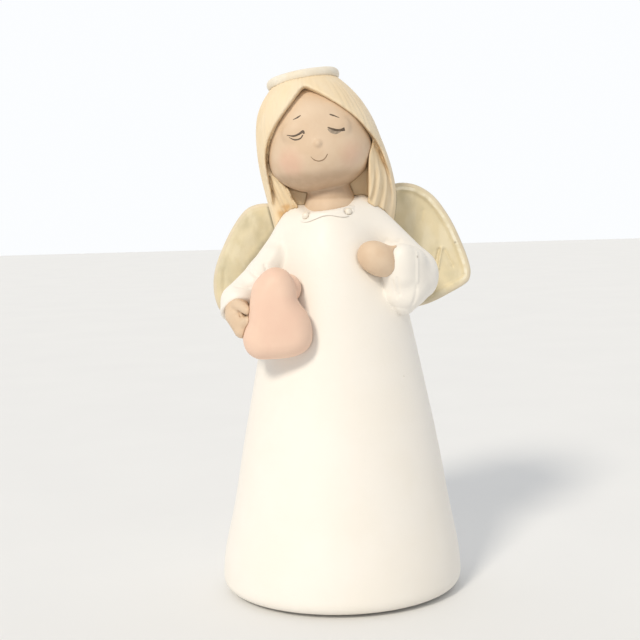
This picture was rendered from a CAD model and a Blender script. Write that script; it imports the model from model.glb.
import math

import bpy
import numpy as np
import openvdb
from mathutils import Matrix, Vector


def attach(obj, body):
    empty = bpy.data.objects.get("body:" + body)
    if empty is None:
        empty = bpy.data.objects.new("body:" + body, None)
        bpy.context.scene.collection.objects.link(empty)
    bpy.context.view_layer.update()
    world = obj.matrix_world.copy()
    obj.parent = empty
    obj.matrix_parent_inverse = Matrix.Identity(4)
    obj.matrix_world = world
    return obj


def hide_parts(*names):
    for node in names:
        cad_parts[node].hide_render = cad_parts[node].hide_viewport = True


# The resin angel is sculpted here from distance fields: functions that give, for points in
# millimetres in the row frame, how far they lie outside a shape (negative inside). Each
# field becomes one closed mesh. -Y is the front, and the angel's left side is +X.

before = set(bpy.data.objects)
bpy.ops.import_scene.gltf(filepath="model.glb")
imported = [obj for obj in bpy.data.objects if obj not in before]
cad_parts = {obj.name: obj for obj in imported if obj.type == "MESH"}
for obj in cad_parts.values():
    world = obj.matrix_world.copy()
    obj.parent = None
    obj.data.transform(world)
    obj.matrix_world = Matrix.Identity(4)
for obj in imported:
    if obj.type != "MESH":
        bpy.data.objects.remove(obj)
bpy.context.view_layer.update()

MM = 0.001
BLOCK = 4  # grid cells per block; only blocks near the surface are worked out in full
SETTLE_ROUNDS = 2  # times the points of a mesh are moved onto the true surface
SETTLE_MOST = 0.7  # furthest that one of those moves goes, in grid steps
FRONT_OF_ALL = -30.0  # a y in front of every shape
MARCH_STEPS = 60
MARCH_SHARE = 0.85  # share of the measured distance that each march step goes
CREASE_REACH = ((0.5, 0.4), (1.2, 0.35), (2.6, 0.25))  # mm out from the surface, share of the shade


# ---- Fields --------------------------------------------------------------------------
def vec(*values):
    """A point, direction or size as an array."""
    return np.array(values, np.float32)


def norm(p):
    """Length of each row of p."""
    return np.sqrt(np.einsum("ij,ij->i", p, p))


def smooth(x, low, high):
    """0 below low, 1 above high, and a smooth step between."""
    t = np.clip((x - low) / (high - low), 0, 1)
    return t * t * (3 - 2 * t)


def join(a, b, k):
    """Union of two fields with a fillet about k wide."""
    h = np.clip(0.5 + 0.5 * (b - a) / k, 0, 1)
    return b + (a - b) * h - k * h * (1 - h)


def meet(a, b, k):
    """Intersection of two fields with a rounded edge about k wide."""
    return -join(-a, -b, k)


def turned(degrees_x, degrees_y):
    """Rotation matrix of a frame turned about X, then about its own Y."""
    about_x = Matrix.Rotation(math.radians(degrees_x), 3, "X")
    about_y = Matrix.Rotation(math.radians(degrees_y), 3, "Y")
    return np.array(about_x @ about_y, np.float32)


def ellipsoid(p, centre, radii, turn=None):
    """An ellipsoid, if need be turned with a frame."""
    q = p - vec(*centre)
    if turn is not None:
        q = q @ turn
    q1 = q / vec(*radii)
    k1 = norm(q1)
    k2 = norm(q1 / vec(*radii))
    return np.where(k2 > 1e-6, k1 * (k1 - 1) / np.maximum(k2, 1e-6), -min(radii))


def limb(p, start, end, start_r, end_r):
    """A round-ended limb whose radius tapers from start to end."""
    a, b = vec(*start), vec(*end)
    t = np.clip((p - a) @ (b - a) / float((b - a) @ (b - a)), 0, 1)
    return norm(p - a - t[:, None] * (b - a)) - (start_r + (end_r - start_r) * t)


def chain(p, points, radii):
    """Limbs joined end to end."""
    d = None
    for i in range(len(points) - 1):
        e = limb(p, points[i], points[i + 1], radii[i], radii[i + 1])
        d = e if d is None else np.minimum(d, e)
    return d


def plane(p, point, normal):
    """The half space behind a plane, whose normal points out."""
    n = vec(*normal)
    return (p - vec(*point)) @ (n / np.linalg.norm(n))


def apart(field, *others):
    """A field less its neighbours."""
    def cut(p):
        d = field(p)
        for other in others:
            d = meet(d, -other(p), 0.08)
        return d
    return cut


def groove(p, points, width, depth):
    """How much to add to a field to press a soft line of that width into it."""
    d = chain(p, points, [0.0] * len(points))
    return depth * np.exp(-((d / width) ** 2))


def curve(points, closed=False, steps=8):
    """A Catmull-Rom curve through points, as a denser list of points."""
    pts = np.array(points, np.float32)
    n = len(pts)
    out = []
    for i in range(n if closed else n - 1):
        p0 = pts[(i - 1) % n] if closed or i else 2 * pts[0] - pts[1]
        p3 = pts[(i + 2) % n] if closed or i + 2 < n else 2 * pts[-1] - pts[-2]
        p1, p2 = pts[i], pts[(i + 1) % n]
        for j in range(steps):
            t = j / steps
            out.append(0.5 * (2 * p1 + (p2 - p0) * t + (2 * p0 - 5 * p1 + 4 * p2 - p3) * t**2
                              + (3 * p1 - p0 - 3 * p2 + p3) * t**3))
    if not closed:
        out.append(pts[-1])
    return np.array(out, np.float32)


def inside_outline(xz, outline):
    """Signed distance in a plane to a closed outline, negative inside."""
    best = np.full(len(xz), 1e9, np.float32)
    inside = np.zeros(len(xz), bool)
    for a, b in zip(outline, np.roll(outline, -1, axis=0)):
        ab = b - a
        t = np.clip((xz - a) @ ab / max(float(ab @ ab), 1e-9), 0, 1)
        q = xz - a - t[:, None] * ab
        best = np.minimum(best, np.einsum("ij,ij->i", q, q))
        crosses = (a[1] > xz[:, 1]) != (b[1] > xz[:, 1])
        if abs(ab[1]) > 1e-9:
            inside ^= crosses & (xz[:, 0] < a[0] + (xz[:, 1] - a[1]) * ab[0] / ab[1])
    return np.where(inside, -1, 1) * np.sqrt(best)


def sections(p, table, power=2.0):
    """A body given by elliptical sections: height, centre x, centre y, half width, half depth.

    The table goes upwards; a power above 2 squares the sections off a little.
    """
    dense = curve(table, steps=6)
    cx, cy, hw, hd = (np.interp(p[:, 2], dense[:, 0], dense[:, k]) for k in range(1, 5))
    x, y = (p[:, 0] - cx) / hw, (p[:, 1] - cy) / hd
    r = (np.abs(x) ** power + np.abs(y) ** power) ** (1 / power)
    size = hw * hd / np.maximum(np.sqrt((hd * x) ** 2 + (hw * y) ** 2), 1e-6) * np.maximum(r, 1e-6)
    return (r - 1) * np.minimum(size, np.maximum(hw, hd))


# ---- Turning a field into a mesh -----------------------------------------------------
def sculpt(field, low, high, step):
    """Quad mesh of a field's zero surface: points (mm) and quads."""
    low, high = vec(*low) - step * BLOCK, vec(*high) + step * BLOCK
    blocks = np.ceil((high - low) / (BLOCK * step)).astype(int)
    index = np.stack(np.meshgrid(*[np.arange(n) for n in blocks], indexing="ij"), -1).reshape(-1, 3)
    coarse = field(low + (index + 0.5).astype(np.float32) * BLOCK * step)
    near = np.abs(coarse) < 1.5 * BLOCK * step
    cells = np.repeat(coarse[:, None], BLOCK**3, axis=1)
    offset = np.stack(np.meshgrid(*[np.arange(BLOCK)] * 3, indexing="ij"), -1).reshape(-1, 3)
    fine = (index[near][:, None] * BLOCK + offset[None]).reshape(-1, 3)
    cells[near] = field(low + fine.astype(np.float32) * step).reshape(-1, BLOCK**3)
    grid_values = cells.reshape(*blocks, BLOCK, BLOCK, BLOCK).transpose(0, 3, 1, 4, 2, 5)
    grid_values = np.ascontiguousarray(grid_values.reshape(*(blocks * BLOCK)))
    grid = openvdb.FloatGrid(3 * step)
    grid.copyFromArray(np.clip(grid_values, -3 * step, 3 * step))
    points, quads = grid.convertToQuads(0.0)
    points = low + points.astype(np.float32) * step
    most = SETTLE_MOST * step
    for _ in range(SETTLE_ROUNDS):
        points = points - np.clip(settle(field, points, step), -most, most)
    return points, quads[:, ::-1].tolist()


def slope(field, points, h):
    """Gradient of a field."""
    g = np.zeros_like(points)
    for corner in ((1, -1, -1), (-1, -1, 1), (-1, 1, -1), (1, 1, 1)):
        g += vec(*corner) * field(points + vec(*corner) * h)[:, None]
    return g / (4 * h)


def settle(field, points, step):
    """The move that takes each point to the field's zero surface."""
    g = slope(field, points, 0.25 * step)
    return g * (field(points) / np.maximum(np.einsum("ij,ij->i", g, g), 0.05))[:, None]


def on_surface(field, xz):
    """Points of a field's front surface at the given x and z."""
    xz = np.array(xz, np.float32).reshape(-1, 2)
    p = np.column_stack([xz[:, 0], np.full(len(xz), FRONT_OF_ALL), xz[:, 1]]).astype(np.float32)
    for _ in range(MARCH_STEPS):
        p[:, 1] += np.maximum(field(p), 0) * MARCH_SHARE
    return p


def lay(field, marks):
    """Grooves given as (x, z points, width, depth), laid on a field's front surface."""
    return [([tuple(q) for q in on_surface(field, curve(points, steps=3))], width, depth)
            for points, width, depth in marks]


def carve(p, laid):
    """How much to add to a field to press laid grooves into it."""
    return sum(groove(p, points, width, depth) for points, width, depth in laid)


def make_piece(name, points, faces, material, replaces=(), marks=()):
    """A mesh from points in mm and faces, as a piece of the body, with marks at its points."""
    mesh = bpy.data.meshes.new(name)
    mesh.from_pydata((points * MM).tolist(), [], faces)
    mesh.update()
    for key, values in dict(marks).items():
        layer = mesh.attributes.new(key, "FLOAT", "POINT")
        layer.data.foreach_set("value", np.ascontiguousarray(values, np.float32))
    mesh.shade_smooth()
    piece = bpy.data.objects.new(name, mesh)
    bpy.context.scene.collection.objects.link(piece)
    mesh.materials.append(material)
    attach(piece, "root")
    if replaces:
        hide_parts(*replaces)


def hollow(points, field, around):
    """0 on open surface to 1 deep in a crease, from how close other surfaces stand."""
    n = slope(field, points, 0.1)
    n /= np.maximum(norm(n), 1e-6)[:, None]
    shade = np.zeros(len(points), np.float32)
    for reach, share in CREASE_REACH:
        q = points + n * reach
        d = np.min([f(q) for f in [field, *around]], axis=0)
        shade += share * np.clip(1 - d / reach, 0, 1)
    return np.clip(shade, 0, 1)


def sculpt_piece(name, field, box, step, material, replaces, around=(), marks=None,
                 shaded_by=None, worn=None):
    """Sculpt a field as one piece; marks are more per-point values that its paint reads.

    The wash in the creases thins out where worn is above 0.
    """
    points, faces = sculpt(field, *box, step * (1.0))
    values = {"crease": hollow(points, shaded_by or field, around)}
    if worn:
        values["crease"] *= 1 - worn(points)
    for key, mark in (marks or {}).items():
        values[key] = mark(points)
    make_piece(name, points, faces, material, replaces, values)


# ---- Gown and sleeves ----------------------------------------------------------------
GOWN_SECTIONS = [  # height, centre x, centre y, half width, half depth
    (-6, 0.4, 0, 34.2, 33.0),
    (4, 0.4, 0, 33.8, 32.6),
    (12, 0.5, 0, 33.0, 31.6),
    (25, 0.8, 0, 30.3, 28.6),
    (42, 0.9, 0, 27.3, 24.9),
    (60, 0.9, 0, 23.7, 21.0),
    (77, 0.7, 0, 20.3, 18.2),
    (88, 0.4, 0, 17.8, 16.2),
    (96, 0.2, 0, 15.4, 14.4),
    (103, -0.1, 0, 12.2, 11.9),
    (108, -0.3, 0, 9.0, 9.0),
    (113, -0.4, 0, 6.8, 6.8),
]
BASE_Z = 0.8
BASE_ROUND = 4.2
NECKLINE = (-0.4, -8.2, 106.6)  # lowest point of the neckline, at the front
NECKLINE_NORMAL = (-0.12, -0.17, 1.0)


def gown_form(p):
    """The bell of the gown up to the neckline, without its sleeves."""
    d = sections(p, GOWN_SECTIONS)
    d = meet(d, BASE_Z - p[:, 2], BASE_ROUND)
    return meet(d, plane(p, NECKLINE, NECKLINE_NORMAL), 1.0)


def sleeve_left_form(p):
    """The left sleeve and its hanging cuff."""
    d = limb(p, (8.6, -0.4, 103.6), (22.7, -4.0, 89.1), 6.0, 5.9)
    forearm = limb(p, (22.5, -4.5, 89.0), (17.4, -12.6, 92.2), 5.7, 4.4)
    cuff = chain(p, [(22.6, -7.0, 86.6), (19.4, -10.6, 83.0), (19.0, -10.4, 81.0)], [5.7, 4.5, 3.4])
    panel = limb(p, (20.9, -11.4, 92.0), (20.7, -11.0, 85.0), 4.0, 4.2)
    apron = limb(p, (16.8, -12.0, 88.4), (16.4, -11.2, 84.0), 3.6, 2.4)
    lip = limb(p, (18.5, -14.8, 94.4), (18.4, -14.4, 88.4), 1.7, 2.0)
    d = join(join(join(d, forearm, 2.0), cuff, 2.5), panel, 2.5)
    return join(join(d, apron, 3.5), lip, 3.5)


def sleeve_right_form(p):
    """The right sleeve down to its cuff."""
    d = limb(p, (-9.2, -0.2, 101.2), (-19.3, -4.0, 89.0), 5.5, 4.7)
    forearm = limb(p, (-19.3, -4.6, 89.0), (-26.0, -11.4, 82.6), 4.6, 4.7)
    cuff = limb(p, (-26.0, -11.4, 82.6), (-26.3, -12.2, 80.2), 4.7, 4.6)
    shield = limb(p, (-16.0, -5.8, 93.6), (-20.8, -8.8, 87.4), 3.9, 4.1)
    return join(join(join(d, forearm, 1.5), cuff, 0.5), shield, 1.5)


FOLDS_LEFT = lay(sleeve_left_form, [
    ([(22.3, 94.8), (22.4, 90.0), (22.2, 85.6)], 0.45, -0.22),
    ([(22.2, 86.0), (21.7, 82.6), (20.6, 79.8)], 0.45, 0.28),
    ([(16.8, 88.0), (17.2, 85.6), (17.4, 83.4)], 0.35, 0.32),
    ([(15.5, 87.4), (16.1, 84.8), (16.8, 82.6)], 0.35, 0.3),
    ([(14.6, 97.8), (16.8, 97.0), (18.4, 97.6)], 0.6, 0.25),
])
FOLDS_RIGHT = lay(sleeve_right_form, [
    ([(-23.4, 91.3), (-22.0, 90.2), (-20.8, 89.2)], 0.34, 0.5),
    ([(-26.4, 86.8), (-24.6, 86.6), (-22.8, 86.3)], 0.34, 0.45),
    ([(-18.6, 92.3), (-18.1, 90.9)], 0.4, 0.45),
    ([(-14.6, 97.6), (-15.6, 95.2), (-16.8, 93.4)], 0.9, -0.25),
])
CUFF_RIGHT = (-26.6, -15.6, 82.9)  # front edge of the right cuff
CUFF_RIGHT_OUT = (0.15, -0.72, -0.68)


def right_cuff_hollow(p):
    """What is open inside the right cuff."""
    return limb(p, (-25.2, -10.2, 83.4), (-26.2, -13.4, 78.6), 3.5, 3.5)


def clothed(p):
    """Gown and both sleeves as one draped surface, with tight joins below the armpits."""
    high = smooth(p[:, 2], 94.0, 103.0)
    k = 0.9 + 4.2 * high
    d = gown_form(p)
    d = join(d, sleeve_left_form(p) + carve(p, FOLDS_LEFT), k)
    right = meet(sleeve_right_form(p), plane(p, CUFF_RIGHT, CUFF_RIGHT_OUT), 0.5)
    return join(d, right + carve(p, FOLDS_RIGHT), k + 0.5)


LAP = 0.7  # how far each piece runs on under its neighbour at a seam
SUNK = 0.08  # how deep it lies there


def seam(p, past):
    """The draped surface of one piece, which dips under its neighbour where past is above 0."""
    return meet(clothed(p) + SUNK * smooth(past, -0.15, LAP), past - LAP, 0.1)


def gown_field(p):
    """The gown as a piece: the draped surface where the body stands out past the arms."""
    body = gown_form(p)
    arm = np.minimum(sleeve_left_form(p), sleeve_right_form(p))
    return seam(p, body - arm)


def sleeve_field(form):
    """A sleeve as a piece, from its form."""
    def field(p):
        d = seam(p, form(p) - gown_form(p))
        if form is sleeve_right_form:
            d = meet(d, -right_cuff_hollow(p), 0.3)
        return d
    return field


# ---- Head ----------------------------------------------------------------------------
HEAD_C = vec(-3.2, -1.8, 127.2)
HEAD_TURN = turned(-6.0, -9.0)


def to_head(p):
    """Row frame to the head's own frame, whose -Y is the face."""
    return (p - HEAD_C) @ HEAD_TURN


def skull_form(q):
    """The round head, in its own frame."""
    d = ellipsoid(q, (0, 0, 0), (14.3, 13.2, 14.2))
    return join(d, ellipsoid(q, (-0.6, -0.9, -6.4), (13.9, 12.3, 9.2)), 3.0)


# Places on the face, x and z in the row frame.
LASH_RIGHT = [(-11.5, 126.6), (-9.7, 126.3), (-8.2, 126.8), (-7.2, 127.4), (-6.9, 126.8)]
LID_RIGHT = [(-10.9, 126.0), (-9.4, 125.3), (-7.9, 125.6), (-7.2, 126.5)]
LASH_LEFT = [(-0.6, 128.3), (0.7, 127.8), (1.9, 127.5), (3.0, 127.55), (3.9, 127.8)]
LID_LEFT = [(-0.6, 127.9), (0.3, 127.2), (1.5, 126.9), (2.8, 127.2)]
BROW_RIGHT = [(-9.7, 130.7), (-8.7, 131.1), (-7.7, 131.7)]
BROW_LEFT = [(0.0, 131.8), (1.3, 131.35), (2.6, 130.8)]
SMILE = [(-5.3, 120.7), (-4.3, 119.8), (-3.0, 119.5), (-1.7, 120.0), (-0.8, 121.3)]
NOSE = (-3.3, 124.1)
CHEEKS = [((-11.0, 119.3), 3.4, 0.42), ((5.8, 121.2), 3.2, 0.26)]


def skull_of(p):
    """The round head, in the row frame."""
    return skull_form(to_head(p))


def bare_head(p):
    """Head and neck."""
    d = skull_of(p)
    neck = limb(p, (0.1, -1.2, 103.5), (-0.6, -1.6, 114.5), 8.8, 5.2)
    return join(d, neck, 0.6)


NOSE_AT = on_surface(bare_head, [NOSE])[0] + vec(0.0, 0.25, 0.0)
LIDS_AT = on_surface(bare_head, [(-9.3, 127.0), (1.8, 128.6)]) + vec(0.0, 1.4, 0.0)


def head_field(p):
    """Head and neck with the nose and the closed lids."""
    d = bare_head(p)
    d = join(d, norm(p - NOSE_AT) - 1.05, 0.6)
    for lid in LIDS_AT:
        d = join(d, ellipsoid(p, lid, (3.2, 1.5, 2.4)), 1.6)
    return d


def forehead(p):
    """Above 0 where the wash in the creases is worn off the forehead."""
    return 0.6 * smooth(p[:, 2], 127.0, 137.0)


def under_chin(p):
    """1 on the underside of the head, 0 on the face and the neck."""
    n = slope(skull_of, p, 0.2)
    return smooth(-n[:, 2], 0.28, 0.9) * smooth(p[:, 2], 108.5, 110.5)


# ---- Collar --------------------------------------------------------------------------
PEARLS = [(-7.0, 105.1, 1.2), (4.4, 105.9, 1.05)]  # x, z, radius
BEAD_DOTS = [(-11.2, 105.0), (7.5, 107.3)]  # x, z of the dents at the collar's ends
PEARLS_AT = [(on_surface(gown_form, [(x, z)])[0], radius) for x, z, radius in PEARLS]
DOTS_AT = on_surface(gown_form, BEAD_DOTS)


def neck_height(p):
    """Height above the neckline's plane."""
    return plane(p, NECKLINE, NECKLINE_NORMAL)


def collar_field(p):
    """Collar band with a rolled upper lip and a scalloped lower edge."""
    around = np.arctan2(p[:, 0] + 0.4, -p[:, 1])
    height = neck_height(p)
    body = sections(p, GOWN_SECTIONS)
    edge = 1.55 + 0.6 * np.cos(6 * (around + 0.64))
    d = body - 0.42
    d = meet(d, -(height + edge), 0.35)
    lip = np.hypot(body, height + 0.25) - 0.55
    d = join(meet(d, height - 0.1, 0.3), lip, 0.3)
    for centre, radius in PEARLS_AT:
        d += 0.35 * np.exp(-(((norm(p - centre) - radius - 0.1) / 0.22) ** 2))
    for centre in DOTS_AT:
        d += 0.4 * np.exp(-((norm(p - centre) / 0.35) ** 2))
    d = meet(d, -body - 0.05, 0.05)
    return meet(d, -bare_head(p), 0.1)


def pearl_field(p):
    """Both pearls, set on the collar."""
    d = None
    for centre, radius in PEARLS_AT:
        e = norm(p - centre) - radius
        d = e if d is None else np.minimum(d, e)
    return meet(d, -collar_field(p), 0.05)


# ---- Hands ---------------------------------------------------------------------------
def hand_left_field(p):
    """The left fist, held to the chest."""
    d = ellipsoid(p, (11.5, -15.4, 93.4), (5.4, 4.0, 4.4), turned(0, 32))
    d = join(d, limb(p, (13.4, -14.2, 91.8), (15.6, -14.0, 91.1), 3.5, 3.2), 1.2)
    d = join(d, limb(p, (14.6, -15.2, 95.2), (16.7, -15.4, 96.2), 1.3, 0.5), 1.2)
    d += groove(p, [(9.0, -18.4, 90.6), (12.6, -18.4, 89.5)], 0.25, 0.3)
    return d


def hand_right_field(p):
    """The right hand, with thumb and fingers on the heart's edge."""
    d = chain(p, [(-26.2, -13.0, 82.2), (-26.2, -14.6, 79.2), (-24.8, -16.9, 75.3)], [3.2, 3.3, 2.3])
    thumb = chain(p, [(-26.0, -16.6, 82.0), (-24.4, -18.2, 81.4), (-23.2, -19.4, 80.6)], [1.5, 1.4, 1.2])
    finger = chain(p, [(-24.6, -16.8, 77.6), (-23.6, -18.4, 77.4), (-23.0, -19.4, 77.8)], [2.0, 1.7, 1.4])
    d = join(join(d, finger, 0.9), thumb, 0.6)
    d += groove(p, [(-25.5, -18.0, 80.7), (-24.4, -18.8, 80.1), (-23.0, -19.8, 79.6)], 0.26, 0.5)
    d += groove(p, [(-25.4, -17.9, 80.2), (-24.9, -18.2, 78.4), (-24.2, -18.8, 77.1)], 0.24, 0.45)
    return d


# ---- Heart ---------------------------------------------------------------------------
HEART = curve([
    (-15.4, 91.9), (-12.6, 91.0), (-10.9, 88.6), (-10.2, 85.9), (-9.9, 83.6), (-8.9, 81.7),
    (-7.4, 79.7), (-6.4, 76.9), (-6.1, 73.6), (-7.0, 70.7), (-9.3, 68.8), (-12.6, 67.9),
    (-17.1, 67.6), (-21.0, 67.7), (-23.6, 69.6), (-24.6, 72.6), (-24.1, 75.1), (-23.2, 77.6),
    (-22.7, 81.0), (-22.2, 84.4), (-21.4, 87.5), (-19.5, 89.8), (-17.6, 91.3),
], closed=True, steps=3)
HEART_Y = -19.2
HEART_ROUND = 4.2
HEART_CROWN = 1.5  # how much thicker the heart is at its middle than inside its rounded rim
HEART_MIDDLE = (-15.2, 77.5)  # x, z
HEART_HALF = (10, 15)


def heart_field(p):
    """The puffy heart, with its second lobe behind the first."""
    across = (p[:, 0] - HEART_MIDDLE[0]) / HEART_HALF[0]
    along = (p[:, 2] - HEART_MIDDLE[1]) / HEART_HALF[1]
    crown = HEART_CROWN * (1 - smooth(np.hypot(across, along), 0.0, 1.2))
    middle = HEART_Y - 0.08 * (p[:, 0] + 15.6)
    side = inside_outline(p[:, [0, 2]], HEART) + HEART_ROUND
    face = np.abs(p[:, 1] - middle) - crown
    outside = np.hypot(np.maximum(side, 0), np.maximum(face, 0))
    d = outside + np.minimum(np.maximum(side, face), 0) - HEART_ROUND
    back_lobe = ellipsoid(p, (-12.3, -15.8, 86.0), (3.5, 3.4, 3.9))
    return join(d, back_lobe, 0.4)


# ---- Hair and halo -------------------------------------------------------------------
HAIR_SECTIONS = [  # height, centre x, centre y, half width, half depth
    (98, 0.8, 5.0, 16.0, 11.4),
    (104, 0.55, 4.9, 17.1, 12.2),
    (108, 0.3, 4.4, 17.8, 12.8),
    (112, -0.2, 3.6, 18.2, 13.8),
    (117, -1.15, 2.4, 18.3, 14.9),
    (121, -1.95, 1.6, 18.05, 15.5),
    (125, -2.8, 1.0, 17.5, 15.8),
    (129, -3.65, 0.6, 16.6, 15.8),
    (133, -4.4, 0.4, 15.3, 15.2),
    (136.5, -4.85, 0.4, 13.45, 14.0),
    (140, -5.1, 0.6, 10.9, 12.2),
    (143, -6.1, 0.9, 8.6, 9.6),
    (146, -6.6, 1.0, 5.0, 5.4),
]
PARTING = [(-6.65, 139.4)]
LEFT_EDGE = [
    (-8.6, 137.4), (-10.6, 134.7), (-12.8, 131.9), (-15.1, 128.6), (-16.9, 124.9), (-17.6, 120.9),
    (-17.3, 117.0),
]
RIGHT_EDGE = [
    (10.1, 127.8), (9.0, 129.1), (6.7, 131.3), (3.8, 133.5), (1.0, 135.4), (-1.9, 137.2), (-4.2, 138.5),
]
# Opening of the outer shell, and the smaller one left by the locks inside it.
SHELL_OPENING = curve(PARTING + LEFT_EDGE + [
    (-16.8, 113.4), (-16.3, 110.0), (-15.5, 104.0), (-10.0, 97.0), (10.0, 97.0), (16.9, 103.0),
    (17.2, 107.0), (17.0, 111.2), (16.4, 115.2), (15.3, 118.8), (13.9, 122.4), (12.0, 125.6),
] + RIGHT_EDGE, closed=True, steps=5)
FACE_OPENING = curve(PARTING + [
    (-8.6, 137.4), (-10.6, 134.7), (-12.8, 131.8), (-14.6, 127.6), (-15.2, 122.0), (-14.8, 117.6),
    (-13.4, 114.4), (-11.6, 112.4), (-10.6, 110.0), (-9.2, 107.6), (-6.0, 99.0), (6.0, 99.0), (9.8, 108.0),
    (10.2, 112.0), (10.3, 118.0), (10.5, 121.6), (11.4, 124.4), (11.3, 126.2),
] + RIGHT_EDGE, closed=True, steps=5)
HAIR_PROUD = 1.5  # how far the hair stands off the forehead
LOCK_RECESS = 1.8  # how far the inner locks lie below the outer shell
LOCK_SWELL = 0.8  # how much of that the left lock makes up lower down
HAIR_SQUARE = 2.15  # power of the hair's sections
HEM_Z = 99.5


def hair_form(p):
    """The outside of the hair, flattened at the crown where the halo rests."""
    d = sections(p, HAIR_SECTIONS, HAIR_SQUARE)
    proud = HAIR_PROUD - 0.9 * smooth(p[:, 0], 1.0, 7.0) * smooth(p[:, 2], 128.0, 135.0)
    proud = proud - 0.5 * smooth(p[:, 2], 131.0, 139.0) * (1 - smooth(p[:, 0], 1.0, 7.0))
    d = join(d, skull_of(p) - proud, 1.5)
    q = (p - HALO_C) @ HALO_TURN
    crown = 0.9 * (1 - smooth(np.hypot(q[:, 0], q[:, 1]), 2.0, 8.0)) - 0.5
    return meet(d, q[:, 2] - crown, 1.6)


def strands(p, depth):
    """Comb lines that run down from the parting."""
    around = np.arctan2(p[:, 0] + 6.8 - 0.14 * (140 - p[:, 2]), -(p[:, 1] - 1.0))
    waves = np.sin(around * 41 + 0.9 * np.sin(p[:, 2] * 0.16)) + 0.6 * np.sin(around * 67 + 1.3)
    return depth * waves + 0.04 * np.sin(around * 61 + p[:, 2] * 0.05)


def through(p, outline, depth, k):
    """A prism along Y with the outline, open to the front and as deep as y = depth."""
    return meet(inside_outline(p[:, [0, 2]], outline), p[:, 1] - depth, k)


def hem(p):
    """Above 0 below the uneven lower edge of the hair."""
    return HEM_Z + 0.5 * np.sin(p[:, 0] * 1.1) - p[:, 2]


def hair_field(p):
    """Outer shell, inner locks and comb lines, cut clear of what the hair lies on."""
    outer = hair_form(p)
    behind = smooth(p[:, 1], -2.0, 4.0)
    lower = 1 - smooth(p[:, 2], 112.0, 132.0)
    shell = outer + strands(p, 0.03 + 0.13 * behind * (0.3 + 0.7 * lower))
    shell = meet(shell, -through(p, SHELL_OPENING, 0.5, 0.8), 0.9)
    swell = LOCK_SWELL * smooth(p[:, 0], 0.0, 6.0) * (1 - smooth(p[:, 2], 114.0, 124.0))
    locks = outer + LOCK_RECESS - swell + strands(p, 0.26 * (1 - smooth(p[:, 2], 113.0, 122.0)))
    locks = meet(locks, -through(p, FACE_OPENING, -1.0, 1.0), 0.9)
    d = join(shell, locks, 1.2)
    d = d + groove(p, [(-6.7, -12.0, 140.2), (-7.6, -10.6, 141.8)], 0.35, 0.4)
    d = meet(d, -bare_head(p), 0.1)
    d = meet(d, hem(p), 1.0)
    d = meet(d, -clothed(p), 0.1)
    d = meet(d, -collar_field(p), 0.1)
    return meet(d, -(halo_form(p) - 0.02), 0.05)


def stained(p):
    """1 on the browned end of the right lock."""
    return 1 - smooth(norm((p - vec(-12.0, -4.0, 106.0)) * vec(0.8, 0.4, 1.2)), 1.6, 4.2)


def locks_deep(p):
    """1 on the recessed locks and inner faces of the hair, 0 on the outer shell."""
    return smooth(-hair_form(p), 0.5, 1.5) * (1 - smooth(p[:, 1], 0.0, 3.0))


HALO_C = vec(-7.0, 1.0, 142.6)
HALO_TURN = turned(-2.1, -9.4)
HALO_R = 9.15
HALO_WIRE = 1.2


def halo_form(p):
    """The halo: a hand-made ring, a little uneven and taller than it is thick."""
    q = (p - HALO_C) @ HALO_TURN
    around = np.arctan2(q[:, 1], q[:, 0])
    wobble = 0.12 * np.sin(around * 3 + 0.7) + 0.07 * np.sin(around * 7)
    ring = np.hypot(q[:, 0], q[:, 1]) - HALO_R - wobble
    return (np.hypot(ring * 1.15, q[:, 2] * 0.84) - HALO_WIRE) * 0.95


# ---- Wings ---------------------------------------------------------------------------
WING_LEFT = curve([
    (3.0, 96.0), (8.0, 106.0), (14.0, 111.8), (18.6, 113.6), (22.4, 113.7), (26.0, 112.6),
    (29.8, 110.0), (33.0, 106.0), (35.8, 101.2), (38.0, 96.2), (39.7, 91.6), (40.6, 88.0),
    (40.2, 85.2), (38.6, 83.6), (34.9, 81.6), (30.4, 79.4), (25.9, 77.9), (18.0, 76.8),
    (10.0, 79.0), (4.0, 86.0),
], closed=True, steps=3)
WING_RIGHT = curve([
    (-3.0, 95.0), (-7.0, 103.0), (-12.5, 107.6), (-18.3, 108.9), (-23.0, 108.2), (-26.0, 106.0),
    (-29.1, 101.6), (-31.5, 97.1), (-33.2, 93.4), (-34.5, 89.4), (-35.0, 85.4), (-34.6, 81.4),
    (-33.0, 77.6), (-29.0, 74.6), (-22.0, 73.8), (-12.0, 77.0), (-4.0, 86.0),
], closed=True, steps=3)
WING_Y = 14.4
WING_HALF = 2.2
WING_SWEEP = 0.10  # how far back a wing goes for each mm outwards
ROOT_X = 7.0
ROOT_R = 3.2  # radius of the boss that meets the back of the gown
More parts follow.
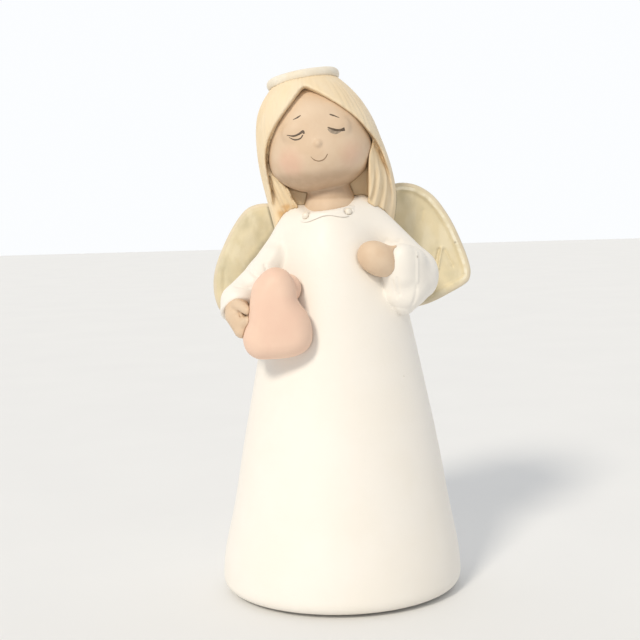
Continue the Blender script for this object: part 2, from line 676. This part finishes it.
# Feather lines: x and z points, width, depth (a ridge where the depth is below 0).
FEATHERS_LEFT = [
    ([(32.2, 94.6), (31.6, 91.6), (31.0, 88.4)], 0.4, -0.55),
    ([(31.4, 94.2), (30.7, 91.4), (30.1, 88.6)], 0.4, 0.6),
    ([(33.0, 94.0), (34.0, 92.0), (35.4, 89.2)], 0.45, 0.45),
    ([(36.8, 85.4), (38.6, 86.6)], 0.3, 0.3),
    ([(26.8, 105.6), (26.2, 102.8)], 0.6, 0.25),
]
FEATHERS_RIGHT = [
    ([(-21.0, 104.0), (-26.5, 97.0), (-29.0, 89.0)], 3.0, -0.5),
    ([(-31.6, 90.0), (-31.8, 84.0)], 0.5, 0.25),
]
BACK_LEFT = [
    ([(9.0, 101.0), (15.0, 105.0), (22.0, 107.0), (29.0, 105.0)], 0.6, 0.4),
    ([(9.0, 95.0), (16.0, 98.5), (25.0, 99.5), (34.0, 96.5)], 0.6, 0.4),
    ([(9.0, 89.0), (16.0, 91.0), (26.0, 90.5), (36.5, 86.5)], 0.6, 0.4),
    ([(10.0, 84.0), (17.0, 84.0), (27.0, 82.0)], 0.6, 0.35),
]
BACK_RIGHT = [([(-0.86 * x, z - 3.0) for x, z in points], width, depth)
              for points, width, depth in BACK_LEFT]


def wing_field(outline, rim, front_lines, back_lines):
    """A dished wing plate; rim is how far the dish drops behind the rim crest."""
    root = ROOT_X * np.sign(outline[len(outline) // 2, 0])

    def field(p):
        d2 = inside_outline(p[:, [0, 2]], outline)
        sweep = WING_SWEEP * np.maximum(np.abs(p[:, 0]) - 12.0, 0)
        y = p[:, 1] - WING_Y - sweep
        dish = rim * smooth(-d2, 1.7, 3.1) + 0.8 * smooth(-d2, 2.0, 10.0)
        front = -WING_HALF + dish
        back = WING_HALF - 0.5 * (1 - smooth(-d2, 0.0, 4.0))
        d = meet(meet(d2, front - y, 1.1), y - back, 1.6)
        q = p * vec(1, 0, 1)
        for points, width, depth in front_lines:
            d = d + groove(q, [(x, 0.0, z) for x, z in points], width, depth)
        for points, width, depth in back_lines:
            d = d + smooth(y, 0.0, 1.0) * groove(q, [(x, 0.0, z) for x, z in points], width, depth)
        d = join(d, limb(p, (root, 12.0, 85.5), (root, 10.8, 99.5), ROOT_R, ROOT_R), 2.0)
        d = meet(d, -clothed(p), 0.1)
        return meet(d, -np.maximum(hair_form(p), hem(p)), 0.2)
    return field


def rim_of(outline, share):
    """1 on the rim crest of a wing, 0 inside the dish and on the outer edge."""
    def mark(p):
        e = -inside_outline(p[:, [0, 2]], outline)
        return share * smooth(e, 0.95, 1.35) * (1 - smooth(e, 1.6, 2.5)) * smooth(p[:, 2], 83.5, 87.0)
    return mark


def edge_of(outline):
    """1 on the outer edge of a wing, 0 on its faces."""
    def mark(p):
        return 1 - smooth(-inside_outline(p[:, [0, 2]], outline), 0.75, 1.25)
    return mark


def near_body(p):
    """1 on a wing beside the hair, less beside a sleeve and at its lower edge."""
    beside_hair = 1 - smooth(hair_form(p * vec(1, 0, 1) + vec(0, 4, 0)), 0.2, 1.8)
    beside_sleeve = 1 - smooth(clothed(p * vec(1, 0, 1) - vec(0, 4, 0)), 0.2, 3.2)
    low_edge = 1 - smooth(p[:, 2], 79.0, 85.0)
    shade = np.maximum(beside_sleeve * np.where(p[:, 0] > 0, 0.42, 0.6), 0.45 * low_edge)
    return np.maximum(beside_hair, shade) * (1 - smooth(p[:, 1], 14.0, 17.0))


# ---- Painted strokes -----------------------------------------------------------------
STROKE_SIDES = 10
STROKE_SUNK = 0.01


def stroke(name, points, widths, material, lift=0.05):
    """A thin painted line laid on the face, with tapering width."""
    dense = curve(points, steps=6)
    centre = on_surface(head_field, dense)
    t = np.linspace(0, 1, len(centre))
    half = np.interp(t, np.linspace(0, 1, len(widths)), widths) / 2
    along = np.gradient(centre, axis=0)
    along /= np.maximum(norm(along), 1e-6)[:, None]
    out = slope(head_field, centre, 0.1)
    out /= np.maximum(norm(out), 1e-6)[:, None]
    side = np.cross(out, along)
    ring = STROKE_SIDES
    verts, faces = [], []
    for i in range(len(centre)):
        for j in range(ring):
            a = 2 * math.pi * j / ring
            rise = lift * math.sin(a) - STROKE_SUNK
            verts.append(centre[i] + side[i] * half[i] * math.cos(a) + out[i] * rise)
    for i in range(len(centre) - 1):
        for j in range(ring):
            a, b = i * ring + j, i * ring + (j + 1) % ring
            faces.append((a, b, b + ring, a + ring))
    verts += [centre[0], centre[-1]]
    first, last = len(verts) - 2, len(verts) - 1
    end = (len(centre) - 1) * ring
    for j in range(ring):
        faces.append((first, (j + 1) % ring, j))
        faces.append((last, end + j, end + (j + 1) % ring))
    make_piece(name, np.array(verts), faces, material)


# ---- Materials -----------------------------------------------------------------------
PIT_SPACING = 4.5  # mm
PIT_SIZE = 0.45
GRAIN = 0.35
CHEEK_RED = (0.80, 0.42, 0.33)


def nodes_of(name):
    """A new material, its node tree, its shader and its object coordinates."""
    material = bpy.data.materials.new(name)
    material.use_nodes = True
    tree = material.node_tree
    tree.nodes.clear()
    out = tree.nodes.new("ShaderNodeOutputMaterial")
    shader = tree.nodes.new("ShaderNodeBsdfPrincipled")
    tree.links.new(shader.outputs[0], out.inputs[0])
    coords = tree.nodes.new("ShaderNodeTexCoord").outputs["Object"]
    return material, tree, shader, coords


def noise(tree, coords, size_mm, detail=3.0, seed=0.0, stretch=(1, 1, 1)):
    """Noise whose features are about size_mm across, 0 to 1."""
    mapping = tree.nodes.new("ShaderNodeMapping")
    mapping.inputs["Location"].default_value = (seed, seed * 0.7, seed * 1.3)
    mapping.inputs["Scale"].default_value = stretch
    tree.links.new(coords, mapping.inputs[0])
    n = tree.nodes.new("ShaderNodeTexNoise")
    n.inputs["Scale"].default_value = 1 / (size_mm * MM)
    n.inputs["Detail"].default_value = detail
    tree.links.new(mapping.outputs[0], n.inputs["Vector"])
    return n.outputs["Fac"]


def remap(tree, value, low, high, out_low=0.0, out_high=1.0):
    """A smooth step of a value from low to high."""
    m = tree.nodes.new("ShaderNodeMapRange")
    m.interpolation_type = "SMOOTHSTEP"
    for i, v in enumerate((low, high, out_low, out_high)):
        m.inputs[i + 1].default_value = v
    tree.links.new(value, m.inputs[0])
    return m.outputs[0]


def math_node(tree, operation, a, b):
    """One sum on two sockets or numbers."""
    m = tree.nodes.new("ShaderNodeMath")
    m.operation = operation
    for i, v in enumerate((a, b)):
        if isinstance(v, (int, float)):
            m.inputs[i].default_value = v
        else:
            tree.links.new(v, m.inputs[i])
    return m.outputs[0]


def times(tree, a, b):
    """The product of two sockets or numbers."""
    return math_node(tree, "MULTIPLY", a, b)


def mix(tree, factor, a, b):
    """Colour a where factor is 0, colour b where it is 1."""
    m = tree.nodes.new("ShaderNodeMix")
    m.data_type = "RGBA"
    for socket, v in ((m.inputs[0], factor), (m.inputs[6], a), (m.inputs[7], b)):
        if isinstance(v, tuple):
            socket.default_value = (*v, 1.0)
        elif isinstance(v, (int, float)):
            socket.default_value = v
        else:
            tree.links.new(v, socket)
    return m.outputs[2]


def attribute(tree, name):
    """A per-point value of the piece."""
    a = tree.nodes.new("ShaderNodeAttribute")
    a.attribute_name = name
    return a.outputs["Fac"]


def bump(tree, shader, height, depth_mm, strength=1.0):
    """Fine relief on a shader from a height."""
    b = tree.nodes.new("ShaderNodeBump")
    b.inputs["Distance"].default_value = depth_mm * MM
    b.inputs["Strength"].default_value = strength
    tree.links.new(height, b.inputs["Height"])
    tree.links.new(b.outputs[0], shader.inputs["Normal"])


def pits(tree, coords, spacing_mm, size_mm, share):
    """1 inside sparse round air bubbles in the casting, 0 elsewhere."""
    v = tree.nodes.new("ShaderNodeTexVoronoi")
    v.inputs["Scale"].default_value = 1 / (spacing_mm * MM)
    tree.links.new(coords, v.inputs["Vector"])
    near = remap(tree, v.outputs["Distance"], size_mm / spacing_mm, 0.4 * size_mm / spacing_mm)
    pick = tree.nodes.new("ShaderNodeSeparateColor")
    tree.links.new(v.outputs["Color"], pick.inputs[0])
    chosen = math_node(tree, "LESS_THAN", pick.outputs[0], share)
    return times(tree, near, chosen)


def blush(tree, coords, colour, place, radius, share):
    """A colour with a soft round blush dabbed on it; place and radius in mm."""
    offset = tree.nodes.new("ShaderNodeVectorMath")
    offset.operation = "DISTANCE"
    offset.inputs[1].default_value = tuple(float(v) * MM for v in place)
    tree.links.new(coords, offset.inputs[0])
    fade = remap(tree, offset.outputs["Value"], radius * 1.7 * MM, radius * 0.2 * MM, 0.0, share)
    dabs = remap(tree, noise(tree, coords, 2.4, 3.0, 9.1), 0.2, 0.8, 0.7, 1.0)
    return mix(tree, times(tree, fade, dabs), colour, CHEEK_RED)


def painted(name, light, deep, wash, wash_at=(0.35, 0.95), rough=(0.5, 0.62), patch_mm=9.0,
            pit_share=0.05, brush=None, layers=(), cheeks=()):
    """Hand-painted cast resin: uneven paint, darker wash in creases, fine grain and a few pits.

    Each layer is a per-point value, its colour, its share and the least of that share in its
    thin spots. Each cheek is a place, a radius and a share.
    """
    material, tree, shader, coords = nodes_of(name)
    patches = remap(tree, noise(tree, coords, patch_mm), 0.35, 0.68)
    colour = mix(tree, patches, light, deep)
    if brush:
        streaks = noise(tree, coords, brush["size"], 4.0, 3.1, brush["stretch"])
        streaks = times(tree, remap(tree, streaks, 0.42, 0.66), brush["share"])
        colour = mix(tree, streaks, colour, brush["colour"])
    for layer, tone, share, least in layers:
        amount = remap(tree, attribute(tree, layer), 0.15, 0.85, 0.0, share)
        thin = remap(tree, noise(tree, coords, 2.6, 4.0, 6.1), 0.36, 0.6, least, 1.0)
        colour = mix(tree, times(tree, amount, thin), colour, tone)
    crease = remap(tree, attribute(tree, "crease"), *wash_at)
    broken = remap(tree, noise(tree, coords, 1.6, 4.0, 7.7), 0.2, 0.75, 0.55, 1.0)
    colour = mix(tree, times(tree, crease, broken), colour, wash)
    hole = pits(tree, coords, PIT_SPACING, PIT_SIZE, pit_share)
    colour = mix(tree, times(tree, hole, 0.55), colour, wash)
    for cheek in cheeks:
        colour = blush(tree, coords, colour, *cheek)
    tree.links.new(colour, shader.inputs["Base Color"])
    sheen = remap(tree, noise(tree, coords, 2.2, 3.0, 1.7), 0.3, 0.7, *rough)
    tree.links.new(sheen, shader.inputs["Roughness"])
    fine = times(tree, noise(tree, coords, 0.5, 4.0, 5.3), GRAIN)
    coarse = times(tree, noise(tree, coords, 3.5, 2.0, 2.9), GRAIN)
    height = math_node(tree, "ADD", fine, coarse)
    height = math_node(tree, "SUBTRACT", height, times(tree, hole, 1.6))
    bump(tree, shader, height, 0.12, 0.8)
    return material


def line_paint(name, dark, thin):
    """Thin paint drawn with a fine brush."""
    material, tree, shader, coords = nodes_of(name)
    colour = mix(tree, remap(tree, noise(tree, coords, 0.7), 0.35, 0.7), dark, thin)
    tree.links.new(colour, shader.inputs["Base Color"])
    sheen = remap(tree, noise(tree, coords, 1.1, 2.0, 4.0), 0.3, 0.7, 0.4, 0.6)
    tree.links.new(sheen, shader.inputs["Roughness"])
    return material


def felt_cloth():
    """Beige felt."""
    material, tree, shader, coords = nodes_of("felt")
    fibres = noise(tree, coords, 0.35, 5.0)
    colour = mix(tree, remap(tree, fibres, 0.3, 0.7), (0.62, 0.57, 0.46), (0.76, 0.71, 0.60))
    tree.links.new(colour, shader.inputs["Base Color"])
    shader.inputs["Roughness"].default_value = 0.95
    bump(tree, shader, fibres, 0.2)
    return material


def pin_steel():
    """Drawn steel pin with fine lathe marks."""
    material, tree, shader, coords = nodes_of("pin_steel")
    lathe_marks = noise(tree, coords, 0.4, stretch=(1.0, 1.0, 6.0))
    colour = mix(tree, remap(tree, lathe_marks, 0.3, 0.7), (0.50, 0.50, 0.50), (0.64, 0.63, 0.61))
    tree.links.new(colour, shader.inputs["Base Color"])
    tree.links.new(remap(tree, lathe_marks, 0.3, 0.7, 0.25, 0.42), shader.inputs["Roughness"])
    shader.inputs["Metallic"].default_value = 1.0
    return material


# ---- Build ---------------------------------------------------------------------------
gown_paint = painted(
    "gown_paint", (0.905, 0.865, 0.805), (0.895, 0.85, 0.78), (0.66, 0.58, 0.48),
    wash_at=(0.45, 1.05), rough=(0.45, 0.58), patch_mm=16.0)
skin = painted(
    "skin_paint", (0.74, 0.57, 0.41), (0.70, 0.52, 0.36), (0.36, 0.24, 0.14),
    wash_at=(0.45, 1.15), patch_mm=6.0, pit_share=0.02,
    layers=[("under", (0.50, 0.35, 0.23), 0.75, 0.8)],
    cheeks=[(on_surface(bare_head, [xz])[0], radius, share) for xz, radius, share in CHEEKS])
heart_paint = painted(
    "heart_paint", (0.86, 0.62, 0.48), (0.84, 0.58, 0.45), (0.62, 0.36, 0.27),
    wash_at=(0.6, 1.15), patch_mm=11.0)
hair_paint = painted(
    "hair_paint", (0.87, 0.72, 0.50), (0.84, 0.67, 0.44), (0.56, 0.40, 0.22),
    wash_at=(0.5, 1.15),
    layers=[("deep", (0.74, 0.56, 0.33), 0.55, 0.6), ("stain", (0.64, 0.38, 0.15), 0.8, 0.3)],
    brush={"size": 5.0, "stretch": (1.0, 1.0, 0.25), "share": 0.45, "colour": (0.84, 0.72, 0.55)})
wing_paint = painted(
    "wing_paint", (0.77, 0.67, 0.45), (0.63, 0.56, 0.38), (0.38, 0.32, 0.20),
    wash_at=(0.6, 1.2), patch_mm=9.0,
    layers=[("near", (0.20, 0.17, 0.11), 0.75, 0.7), ("edge", (0.72, 0.62, 0.47), 0.8, 0.5),
            ("rim", (0.92, 0.86, 0.70), 0.9, 0.25)],
    brush={"size": 4.0, "stretch": (1.0, 1.0, 0.5), "share": 0.6, "colour": (0.84, 0.76, 0.57)})
halo_paint = painted(
    "halo_paint", (0.86, 0.80, 0.69), (0.82, 0.73, 0.58), (0.50, 0.40, 0.26),
    wash_at=(0.6, 1.2), patch_mm=5.0)
pearl_paint = painted(
    "pearl_paint", (0.88, 0.83, 0.74), (0.86, 0.79, 0.68), (0.45, 0.36, 0.24),
    wash_at=(0.35, 0.9), rough=(0.3, 0.42), patch_mm=2.0)
bare_resin = painted(
    "bare_resin", (0.66, 0.63, 0.55), (0.60, 0.57, 0.49), (0.42, 0.39, 0.33),
    patch_mm=7.0, pit_share=0.3)
ink = line_paint("ink", (0.085, 0.058, 0.038), (0.15, 0.105, 0.07))
soft_ink = line_paint("soft_ink", (0.27, 0.17, 0.10), (0.36, 0.24, 0.14))
lid_shade = line_paint("lid_shade", (0.30, 0.24, 0.18), (0.42, 0.33, 0.25))

# Each piece: its field, the box that holds it, the grid step, its paint and slot, the CAD node that
# it replaces, and the neighbours that put its creases in shade.
sculpt_piece(
    "gown_body", gown_field, ((-35, -35, 0), (36, 35, 112)), 0.55, gown_paint,
    ["gown"], [heart_field, hand_left_field, collar_field], shaded_by=clothed)
sculpt_piece(
    "sleeve_left_drape", sleeve_field(sleeve_left_form), ((3, -22, 74), (31, 10, 112)), 0.3,
    gown_paint, ["sleeve_left"], [hand_left_field], shaded_by=clothed)
sculpt_piece(
    "sleeve_right_drape", sleeve_field(sleeve_right_form), ((-34, -22, 74), (-3, 10, 110)), 0.3,
    gown_paint, ["sleeve_right"], [heart_field, hand_right_field],
    shaded_by=clothed)
sculpt_piece(
    "head_face", head_field, ((-20, -20, 103), (14, 14, 144)), 0.28, skin,
    ["head"], [hair_field, collar_field, gown_form], {"under": under_chin}, worn=forehead)
sculpt_piece(
    "collar_scallops", collar_field, ((-13, -13, 101), (13, 13, 112)), 0.18, gown_paint,
    ["collar"], [gown_form, bare_head])
sculpt_piece(
    "hair_locks", hair_field, ((-23, -20, 99), (20, 20, 147)), 0.33, hair_paint,
    ["hair"], [bare_head, clothed], {"deep": locks_deep, "stain": stained})
sculpt_piece(
    "halo_ring", halo_form, ((-20, -12, 136), (6, 14, 149)), 0.22, halo_paint,
    ["halo"], [hair_form])
sculpt_piece(
    "heart_puff", heart_field, ((-27, -30, 64), (-4, -12, 94)), 0.25, heart_paint,
    ["heart"], [hand_right_field, sleeve_right_form, gown_form])
sculpt_piece(
    "hand_left_fist", apart(hand_left_field, sleeve_field(sleeve_left_form), gown_form),
    ((4, -23, 86), (20, -8, 101)), 0.2, skin, ["hand_left"], [clothed])
sculpt_piece(
    "hand_right_grip", apart(hand_right_field, heart_field), ((-33, -24, 69), (-20, -7, 88)), 0.2,
    skin, ["hand_right"], [clothed, heart_field])
for side, outline, rim, share, feathers, back in (
        ("left", WING_LEFT, 0.9, 1.0, FEATHERS_LEFT, BACK_LEFT),
        ("right", WING_RIGHT, 0.15, 0.3, FEATHERS_RIGHT, BACK_RIGHT)):
    low, high = outline.min(0), outline.max(0)
    sculpt_piece(
        f"wing_{side}_dish", wing_field(outline, rim, feathers, back),
        ((low[0], 8, low[1]), (high[0], 21, high[1])), 0.33, wing_paint,
        [f"wing_{side}"], [clothed, hair_form],
        {"rim": rim_of(outline, share), "edge": edge_of(outline), "near": near_body})
sculpt_piece(
    "collar_beads", apart(pearl_field, gown_form), ((-9, -13, 103), (7, -6, 108)), 0.12,
    pearl_paint, ["collar_pearls"], [gown_form, collar_field])

stroke("lash_right", LASH_RIGHT, [0.2, 0.5, 0.6, 0.8, 0.5], ink)
stroke("lid_right", LID_RIGHT, [0.15, 0.42, 0.42, 0.3], ink)
stroke("lid_left", LID_LEFT, [0.3, 1.0, 1.1, 0.4], lid_shade, lift=0.03)
stroke("lash_left", LASH_LEFT, [0.35, 0.6, 0.65, 0.7, 0.95], ink, lift=0.07)
stroke("brow_right", BROW_RIGHT, [0.18, 0.34, 0.5, 0.3], ink)
stroke("brow_left", BROW_LEFT, [0.35, 0.5, 0.34, 0.15], ink)
stroke("smile_line", SMILE, [0.12, 0.3, 0.34, 0.34, 0.26], soft_ink)

steel = pin_steel()
inner_looks = {"felt_pad": felt_cloth(), "base_plug": bare_resin}
for node in ("neck_dowel", "shoulder_dowels", "wrist_dowels", "wing_dowels", "heart_pin", "halo_pins"):
    inner_looks[node] = steel
for node, look in inner_looks.items():
    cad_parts[node].data.materials.clear()
    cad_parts[node].data.materials.append(look)


# ---- Stage, light and camera ---------------------------------------------------------
KEY_TOWARDS = (0.34, 0.63, -0.54)
KEY_SPREAD = 12.0
KEY_STRENGTH = 1.85
WORLD_FRONT = 0.55  # brightness of the room in front of the figure and behind it
WORLD_BACK = 1.0
FLOOR_HALF = 3.0


def stage():
    """A plain pale floor."""
    floor = bpy.data.meshes.new("floor")
    corners = [(x * FLOOR_HALF, y * FLOOR_HALF, 0) for x, y in ((-1, -1), (1, -1), (1, 1), (-1, 1))]
    floor.from_pydata(corners, [], [(0, 1, 2, 3)])
    material, tree, shader, coords = nodes_of("floor_paper")
    tone = mix(tree, noise(tree, coords, 60.0), (0.80, 0.80, 0.80), (0.84, 0.84, 0.835))
    tree.links.new(tone, shader.inputs["Base Color"])
    shader.inputs["Roughness"].default_value = 0.8
    floor.materials.append(material)
    ground = bpy.data.objects.new("floor", floor)
    bpy.context.scene.collection.objects.link(ground)


def studio():
    """A pale room, brighter behind the figure, and one warm soft key light."""
    world = bpy.data.worlds.new("studio")
    world.use_nodes = True
    tree = world.node_tree
    background = tree.nodes["Background"]
    background.inputs[0].default_value = (0.97, 0.985, 1.0, 1.0)
    split = tree.nodes.new("ShaderNodeSeparateXYZ")
    towards = tree.nodes.new("ShaderNodeTexCoord").outputs["Generated"]
    tree.links.new(towards, split.inputs[0])
    strength = remap(tree, split.outputs["Y"], -0.3, 0.8, WORLD_FRONT, WORLD_BACK)
    tree.links.new(strength, background.inputs[1])
    bpy.context.scene.world = world
    sun = bpy.data.lights.new("key", "SUN")
    sun.angle = math.radians(KEY_SPREAD)
    sun.energy = KEY_STRENGTH
    sun.color = (1.0, 0.925, 0.80)
    key = bpy.data.objects.new("key", sun)
    key.rotation_mode = "QUATERNION"
    key.rotation_quaternion = Vector(KEY_TOWARDS).to_track_quat("-Z", "Y")
    bpy.context.scene.collection.objects.link(key)
    bpy.context.scene.view_settings.view_transform = "Standard"


CAMERA_PLACE = (-0.00402, -0.330, 0.10687)
CAMERA_DOWN = 5.38  # degrees below level
CAMERA_ROLL = 1.57
CAMERA_LENS = 66.3


def camera():
    """The photograph's own view."""
    data = bpy.data.cameras.new("camera")
    data.lens = CAMERA_LENS
    data.sensor_width = 36.0
    data.clip_start = 0.01
    body = bpy.data.objects.new("camera", data)
    tilt = Matrix.Rotation(math.radians(90 - CAMERA_DOWN), 4, "X")
    roll = Matrix.Rotation(math.radians(-CAMERA_ROLL), 4, "Z")
    body.matrix_world = Matrix.Translation(CAMERA_PLACE) @ (tilt @ roll)
    bpy.context.scene.collection.objects.link(body)
    bpy.context.scene.camera = body


stage()
studio()
camera()
